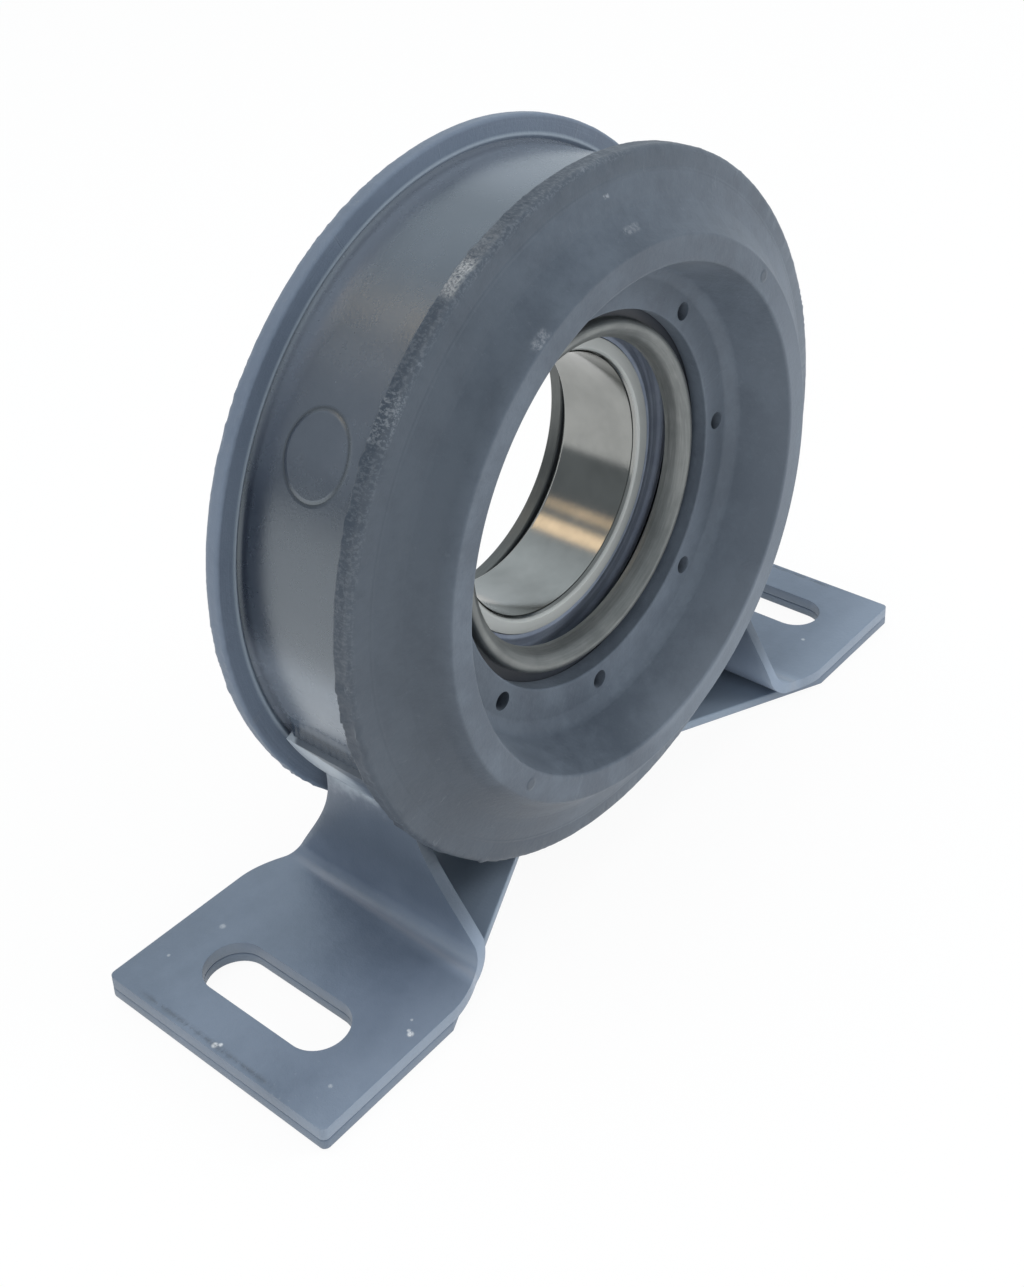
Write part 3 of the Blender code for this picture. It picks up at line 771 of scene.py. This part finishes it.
# Seals: navy rubber rings moulded on thin steel, one each side of the balls, with a fine rib
# that runs on the land of the inner ring.
seal_set_back = 0.7
seal_outer = 29.1
seal_inner = 22.74
seal_rubber, shader, place = new_finish("navy_rubber", {"IOR": 1.5})
radius, _, _ = round_shaft(place)
ribs = radius.math('SINE', radius * 7000.0)
worn = place.speckle(160.0, 4.0, 0.6)
feed(shader, "Base Color", worn.rise(0.35, 0.65).colours((0.215, 0.250, 0.325, 1), (0.265, 0.305, 0.380, 1)))
feed(shader, "Roughness", worn * 0.2 + 0.50)
feed(shader, "Normal", raised(ribs * 0.4 + place.speckle(2400.0), 0.3, 0.0001))
for seal_name, node_name, face, turn in (
    ("seal_front", "front_seal", bearing_front + seal_set_back, 1.0),
    ("seal_back", "rear_seal", bearing_back - seal_set_back, -1.0),
):
    seal_outline = rounded([
        (seal_outer, face + turn * 1.0, 0.2),
        (seal_outer, face + turn * 0.1, 0.3),
        (27.6, face - turn * 0.2, 0.5),
        (26.4, face + turn * 0.15, 0.5),
        (24.6, face - turn * 0.05, 0.6),
        (23.3, face - turn * 0.60, 0.3),
        (seal_inner, face - turn * 0.52, 0.12),
        (seal_inner, face + turn * 1.0, 0.2),
    ], longest=1.0)
    seal = finished(seal_name, turned_mesh(seal_name, seal_outline, 192), seal_rubber)
    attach(seal, "housing")
    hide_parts(node_name)


# Balls: twelve polished steel balls, carried round between the rings by the cage. They are
# instances of one ball, on the points of a ring about the shaft.
ball_count = 12
ball_radius = 3.9
first_ball = 15.0
ball_steel, shader, place = new_finish("polished_steel", {"Metallic": 1.0})
scratches = place.speckle(900.0, 3.0, 0.6)
feed(shader, "Base Color", scratches.rise(0.3, 0.7).colours((0.70, 0.70, 0.69, 1), (0.80, 0.80, 0.80, 1)))
feed(shader, "Roughness", scratches * 0.08 + 0.05)
ball_tree = bpy.data.node_groups.new("ball_row", 'GeometryNodeTree')
ball_tree.interface.new_socket("Geometry", in_out='OUTPUT', socket_type='NodeSocketGeometry')
ball_values = {
    "Count": ball_count,
    "Pitch Radius": pitch_radius * MM,
    "Ball Radius": ball_radius * MM,
    "Start": math.radians(first_ball),
    "Height": axis_height * MM,
    "Middle": bearing_centre * MM,
}
ball_sockets = named_inputs(ball_tree, ball_values)
nodes = ball_tree.nodes
links = ball_tree.links
entry = nodes.new('NodeGroupInput')
leave = nodes.new('NodeGroupOutput')
row = nodes.new('GeometryNodeMeshCircle')
links.new(entry.outputs["Count"], row.inputs["Vertices"])
links.new(entry.outputs["Pitch Radius"], row.inputs["Radius"])
ball = nodes.new('GeometryNodeMeshIcoSphere')
ball.inputs["Subdivisions"].default_value = 5
links.new(entry.outputs["Ball Radius"], ball.inputs["Radius"])
carry = nodes.new('GeometryNodeInstanceOnPoints')
links.new(row.outputs["Mesh"], carry.inputs["Points"])
links.new(ball.outputs["Mesh"], carry.inputs["Instance"])
real = nodes.new('GeometryNodeRealizeInstances')
links.new(carry.outputs["Instances"], real.inputs["Geometry"])
swing = nodes.new('ShaderNodeCombineXYZ')
links.new(entry.outputs["Start"], swing.inputs["Z"])
turned_row = nodes.new('GeometryNodeTransform')
links.new(real.outputs["Geometry"], turned_row.inputs["Geometry"])
links.new(swing.outputs["Vector"], turned_row.inputs["Rotation"])
where = nodes.new('ShaderNodeCombineXYZ')
links.new(entry.outputs["Middle"], where.inputs["Y"])
links.new(entry.outputs["Height"], where.inputs["Z"])
stand = nodes.new('GeometryNodeTransform')
stand.inputs["Rotation"].default_value = (math.radians(90), 0.0, 0.0)
links.new(turned_row.outputs["Geometry"], stand.inputs["Geometry"])
links.new(where.outputs["Vector"], stand.inputs["Translation"])
dress = nodes.new('GeometryNodeSetMaterial')
dress.inputs["Material"].default_value = ball_steel
links.new(stand.outputs["Geometry"], dress.inputs["Geometry"])
links.new(dress.outputs["Geometry"], leave.inputs[0])
ball_holder = bpy.data.objects.new("ball_holder", bpy.data.meshes.new("ball_holder"))
bpy.context.scene.collection.objects.link(ball_holder)
ball_mesh = plain_result(ball_holder, ball_tree, ball_sockets, ball_values)
balls = finished("ball_row", ball_mesh, ball_steel, 60)
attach(balls, "ball_set")
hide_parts(*["ball_%02d" % (k + 1) for k in range(ball_count)])


# Cage: two pressed steel halves with a pocket for each ball. They are out of sight behind the
# seals, so the solids themselves are kept and only get their finish.
cage_steel, shader, place = new_finish("pressed_steel", {"Metallic": 1.0})
rolled = place.speckle(300.0, 4.0, 0.6)
feed(shader, "Base Color", rolled.rise(0.3, 0.7).colours((0.42, 0.38, 0.32, 1), (0.56, 0.51, 0.43, 1)))
feed(shader, "Roughness", rolled * 0.2 + 0.3)
for node_name in ("cage_front", "cage_back"):
    cage_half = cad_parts[node_name]
    cage_half.data.materials.clear()
    cage_half.data.materials.append(cage_steel)


# Legs: one pressed 1.6 mm sheet on each side. The foot lies flat, the sheet bends up into a
# riser that narrows to pass between the flanges, and its head lies along the band as a tab.
sheet = 1.6
tab_low_angle = 52.0
tab_high_angle = 64.5
tab_half_width = 8.7
neck_half_width = 8.2
riser_foot = 38.4
riser_bend = 2.0
foot_shoulder = 47.3
foot_half_depth = 20.95
foot_corner = 0.9
slot_centre = 59.3
slot_width = 8.9
slot_length = 25.2
foot_end = 70.6
foot_top = 2 * sheet + fit_gap
tab_radius = band_radius + fit_gap + sheet
leg_paint, shader, place, base, peel = black_paint(
    "leg_paint", (0.102, 0.132, 0.184), (0.138, 0.173, 0.234), 0.42, 1600.0, 1.9)
x, y, z = place.parts()
face_way = Value(place.tree, place.tree.nodes.new('ShaderNodeNewGeometry').outputs["Normal"])
sheared = face_way.parts()[1].absolute().rise(0.45, 0.85)
base = (sheared * 0.35).colours(base, (0.170, 0.195, 0.230, 1))
# Painted highlights: paler along the front edge and along the bend; painted shade: darker up the riser and
# its edges
edge_highlight = y.rise(-0.0120, -0.0205) * 0.5 * z.rise(0.020, 0.008)
bend_highlight = y.rise(0.008, -0.018) * x.absolute().rise(0.0430, 0.0412) * z.rise(0.0095, 0.0045) * 0.50
painted_highlights = edge_highlight + bend_highlight
base = painted_highlights.colours(base, (0.235, 0.285, 0.365, 1))
base = (sheared * z.rise(0.0055, 0.0125) * 0.9).colours(base, (0.052, 0.066, 0.090, 1))
shaded = z.rise(0.0050, 0.0150) * (1 - sheared) * 0.62
base = shaded.colours(base, (0.058, 0.074, 0.100, 1))
painted_bend_highlight = (x.absolute() + y * 0.03).line(0.0403, 0.0009) * y.rise(0.019, 0.010)
base = (painted_bend_highlight * 0.45).colours(base, (0.300, 0.315, 0.360, 1))
# Painted reflection: a ragged pale wedge on the tab below the weld, where the tab mirrors the table; darker
# near the tab's end beside the weld
ragged = place.speckle(420.0, 3.0, 0.7) * 0.006 - 0.003
painted_tab_reflection = (z + ragged).rise(0.0205, 0.0260) * (y + ragged).rise(-0.0050, 0.0010)
base = (painted_tab_reflection * 0.9).colours(base, (0.43, 0.48, 0.53, 1))
weld_foot = (z + ragged * 0.3 - y * 0.22).rise(0.0313, 0.0319)
base = (weld_foot * 0.9).colours(base, (0.070, 0.084, 0.106, 1))
# Chips on the feet, at x, y in millimetres, and a rubbed line at each end
flecks = 0.0
for fleck_x, fleck_y, fleck_size, fleck_strength in (
    (-69.8, 0.0, 0.42, 1.0), (-69.3, -0.6, 0.30, 0.7), (-53.3, -19.1, 0.42, 0.8), (-53.0, -18.5, 0.25, 0.6),
    (-65.3, -16.7, 0.30, 0.3), (-63.4, 17.2, 0.25, 0.3), (-55.3, 15.4, 0.45, 0.3), (-51.5, -17.6, 0.20, 0.4),
    (52.5, -14.0, 0.35, 0.4), (63.0, 15.5, 0.30, 0.3),
):
    reach = ((x - fleck_x * MM) ** 2 + (y - fleck_y * MM) ** 2) ** 0.5
    flecks = reach.rise(fleck_size * 1.4 * MM, fleck_size * 0.4 * MM) * fleck_strength + flecks
flecks = (flecks * place.speckle(2600.0, 3.0, 0.7).rise(0.34, 0.48) * z.rise(0.0028, 0.0034)).least(1.0)
base = (flecks * 0.95).colours(base, (0.86, 0.88, 0.90, 1))
worn_line = x.absolute().line(0.0698, 0.0006)
worn_line = worn_line * place.speckle(500.0, 4.0, 0.75).rise(0.38, 0.60)
worn_line = worn_line * (y - 0.002).absolute().rise(0.0145, 0.010)
base = (worn_line * 0.6).colours(base, (0.040, 0.050, 0.068, 1))
feed(shader, "Base Color", base)
feed(shader, "Normal", raised(peel - worn_line * 2.0 - flecks * 1.5, 0.4, 0.00012))


def ease(u):
    """0 to 1 with a soft start and end."""
    u = min(max(u, 0.0), 1.0)
    return u * u * (3 - 2 * u)


def tab_point(angle):
    """(distance out, height) on the outer face of the tab, at an angle from the bottom of the band."""
    a = math.radians(angle)
    return tab_radius * math.sin(a), axis_height - tab_radius * math.cos(a)


def leg_path():
    """(distance out, height, half width) from the foot's end up to the end of the tab."""
    path = []
    for k in range(9):
        a = math.radians(90 * k / 8)
        path.append((foot_end - foot_corner + foot_corner * math.cos(a), foot_top,
                     foot_half_depth - foot_corner + foot_corner * math.sin(a)))
    for k in range(1, 12):
        path.append((foot_end - foot_corner + (foot_shoulder - foot_end + foot_corner) * k / 12,
                     foot_top, foot_half_depth))
    neck_x, neck_z = tab_point(tab_low_angle)
    flat = foot_shoulder - riser_foot - riser_bend
    bend_run = riser_bend * math.pi / 2
    rise = neck_z - foot_top - riser_bend
    run = flat + bend_run + rise
    way = [(foot_shoulder - flat * k / 10, foot_top, flat * k / 10) for k in range(10)]
    for k in range(11):
        a = math.radians(90 * k / 10)
        way.append((riser_foot + riser_bend - riser_bend * math.sin(a),
                    foot_top + riser_bend - riser_bend * math.cos(a), flat + bend_run * k / 10))
    for k in range(1, 21):
        u = k / 20
        way.append((riser_foot + (neck_x - riser_foot) * u, foot_top + riser_bend + rise * u,
                    flat + bend_run + rise * u))
    for x, z, s in way:
        path.append((x, z, neck_half_width + (foot_half_depth - neck_half_width) * ease(1 - 1.02 * s / run)))
    for k in range(1, 17):
        x, z = tab_point(tab_low_angle + (tab_high_angle - tab_low_angle) * k / 16)
        path.append((x, z, neck_half_width + (tab_half_width - neck_half_width) * ease(k / 12)))
    return path


def slot_block(name, middle):
    """A long block with round ends that punches a slot."""
    ends = []
    half = slot_width / 2
    run = slot_length / 2 - half
    for side, centre in ((0, run), (180, -run)):
        for k in range(25):
            a = math.radians(side + 180 * k / 24)
            ends.append((middle + half * math.cos(a), centre + half * math.sin(a)))
    count = len(ends)
    below, above = -0.003, 0.009
    verts = [(x * MM, y * MM, height) for height in (below, above) for x, y in ends]
    faces = [tuple(reversed(range(count))), tuple(range(count, 2 * count))]
    for i in range(count):
        j = (i + 1) % count
        faces.append((i, j, count + j, count + i))
    mesh = bpy.data.meshes.new(name)
    mesh.from_pydata(verts, [], faces)
    block = bpy.data.objects.new(name, mesh)
    bpy.context.scene.collection.objects.link(block)
    return block


def punched(name, mesh, blocks, material, edge):
    """The blank with its slots punched and its edges eased, as a finished piece."""
    blank = bpy.data.objects.new(name + "_blank", mesh)
    bpy.context.scene.collection.objects.link(blank)
    for block in blocks:
        punch = blank.modifiers.new("Punch", 'BOOLEAN')
        punch.operation = 'DIFFERENCE'
        punch.solver = 'EXACT'
        punch.object = block
    easing = blank.modifiers.new("Edge", 'BEVEL')
    easing.width = edge * MM
    easing.segments = 3
    easing.limit_method = 'ANGLE'
    easing.angle_limit = math.radians(48)
    bpy.context.view_layer.update()
    made = bpy.data.meshes.new_from_object(blank.evaluated_get(bpy.context.evaluated_depsgraph_get()))
    for thing in [blank] + blocks:
        bpy.data.objects.remove(thing, do_unlink=True)
    return finished(name, made, material, 30)


def leg_mesh(name, side):
    """The sheet of one leg without its slot: the path's upper face, and its lower face a sheet away."""
    path = leg_path()
    count = len(path)
    columns = 25
    drop_to_plate = sheet + fit_gap - 0.06
    verts = []
    faces = []
    normals = []
    for i in range(count):
        ax, az, _ = path[max(i - 1, 0)]
        bx, bz, _ = path[min(i + 1, count - 1)]
        along = Vector((bx - ax, bz - az)).normalized()
        normals.append(Vector((-along.y, along.x)) if i > 8 else Vector((0.0, -1.0)))
    for layer in (0, 1):
        for (x, z, half), out in zip(path, normals):
            for c in range(columns):
                t = 2 * c / (columns - 1) - 1
                drop = drop_to_plate * layer
                verts.append((side * (x + out.x * drop) * MM, t * half * MM, (z + out.y * drop) * MM))
    size = count * columns
    for i in range(count - 1):
        for c in range(columns - 1):
            a = i * columns + c
            faces.append((a, a + 1, a + columns + 1, a + columns))
            faces.append((size + a, size + a + columns, size + a + columns + 1, size + a + 1))
        for c in (0, columns - 1):
            a = i * columns + c
            faces.append((a, a + columns, size + a + columns, size + a))
    for i in (0, count - 1):
        for c in range(columns - 1):
            a = i * columns + c
            faces.append((a, a + 1, size + a + 1, size + a))
    mesh = bpy.data.meshes.new(name)
    mesh.from_pydata(verts, [], faces)
    return outward(mesh)


for leg_name, node_name, side in (("left_leg", "leg_left", -1), ("right_leg", "leg_right", 1)):
    slot = slot_block("leg_slot", side * slot_centre)
    leg = punched(leg_name, leg_mesh(leg_name, side), [slot], leg_paint, 0.28)
    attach(leg, "housing")
    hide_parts(node_name)


# Tie plate: a flat sheet under both feet that ties them together, narrow below the band so
# that it clears the rubber rims. It is spot welded to the legs.
waist_half_width = 6.0
waist_half_length = 15.5
quarter = [(waist_half_length, waist_half_width), (foot_shoulder, foot_half_depth)]
for k in range(7):
    a = math.radians(90 - 90 * k / 6)
    quarter.append((foot_end - foot_corner + foot_corner * math.cos(a),
                    foot_half_depth - foot_corner + foot_corner * math.sin(a)))
right_edge = [(x, -y) for x, y in quarter] + [(x, y) for x, y in reversed(quarter)]
plate_edge = right_edge + [(-x, -y) for x, y in right_edge]
count = len(plate_edge)
plate_verts = [(x * MM, y * MM, height * MM) for height in (0.0, sheet) for x, y in plate_edge]
plate_faces = [tuple(reversed(range(count))), tuple(range(count, 2 * count))]
for i in range(count):
    j = (i + 1) % count
    plate_faces.append((i, j, count + j, count + i))
plate_mesh = bpy.data.meshes.new("lower_plate")
plate_mesh.from_pydata(plate_verts, [], plate_faces)
plate_paint, shader, place, base, peel = black_paint(
    "plate_paint", (0.096, 0.126, 0.176), (0.130, 0.164, 0.222), 0.42, 1600.0, 1.9)
# Painted light: the waist below the band is painted paler, lifting the shade under the ring
painted_waist_light = place.parts()[0].absolute().rise(0.042, 0.028)
feed(shader, "Base Color", (painted_waist_light * 0.64).colours(base, (0.27, 0.33, 0.41, 1)))
slot_blocks = [slot_block("plate_slot", side * slot_centre) for side in (-1, 1)]
plate = punched("lower_plate", plate_mesh, slot_blocks, plate_paint, 0.25)
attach(plate, "housing")
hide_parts("tie_plate")


# Weld beads: a rippled fillet between the end of each tab and the band, painted over. Its
# section runs from 0 to 1 along the band and from 0 to 1 up the end of the tab.
bead_height = 1.82
bead_run = 4.0
bead_overlap = 0.45
bead_start = math.radians(tab_high_angle) - bead_overlap / band_radius
bead_half_length = tab_half_width - 0.1
bead_paint, shader, place, base, peel = black_paint(
    "bead_paint", (0.018, 0.028, 0.046), (0.028, 0.040, 0.060), 0.26, 2400.0, 1.6)
x, y, z = place.parts()
reach = (x * x + (z - axis_height * MM) ** 2) ** 0.5
# Painted highlight: a pale line along the bead's toe on the band and at its back end
bead_edge_highlight = (reach.rise(0.0490, 0.0487) * 0.35).most(y.rise(0.0080, 0.0085) * 0.8)
feed(shader, "Base Color", bead_edge_highlight.colours(base, (0.20, 0.24, 0.29, 1)))
feed(shader, "Normal", raised(peel, 0.06, 0.00012))
for bead_name, node_name, side in (("left_bead", "weld_left", -1), ("right_bead", "weld_right", 1)):
    verts = []
    faces = []
    rings = 97
    shape = [(0.0, 0.0), (0.5, 0.0), (1.0, 0.0)]
    for k in range(1, 15):
        a = math.radians(90 * k / 15)
        shape.append((1.0 - math.sin(a) ** 1.25, 1.0 - math.cos(a) ** 1.1))
    shape += [(0.0, 1.0), (0.0, 0.5)]
    count = len(shape)
    for i in range(rings):
        u = 2 * i / (rings - 1) - 1
        y = bead_half_length * u
        swell = min(1.0, 0.62 + 1.3 * math.sqrt(max(0.0, 1 - abs(u))))
        swell *= 0.97 + 0.03 * abs(math.sin(i * math.pi / 8))
        for run, height in shape:
            lump = 1.0 + 0.05 * noise.noise(Vector((y * 1.3, run * 2.0, height * 2.0 + side)))
            a = bead_start + run * swell * bead_run / band_radius
            r = band_radius - 0.02 + height * swell * bead_height * min(lump, 1.0)
            verts.append((side * r * MM * math.sin(a), y * MM, (axis_height - r * math.cos(a)) * MM))
    for i in range(rings - 1):
        for k in range(count):
            m = (k + 1) % count
            faces.append((i * count + k, i * count + m, (i + 1) * count + m, (i + 1) * count + k))
    faces.append(tuple(range(count)))
    faces.append(tuple(range((rings - 1) * count, rings * count)))
    bead_mesh = bpy.data.meshes.new(bead_name)
    bead_mesh.from_pydata(verts, [], faces)
    bead = finished(bead_name, bead_mesh, bead_paint, 50)
    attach(bead, "housing")
    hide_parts(node_name)
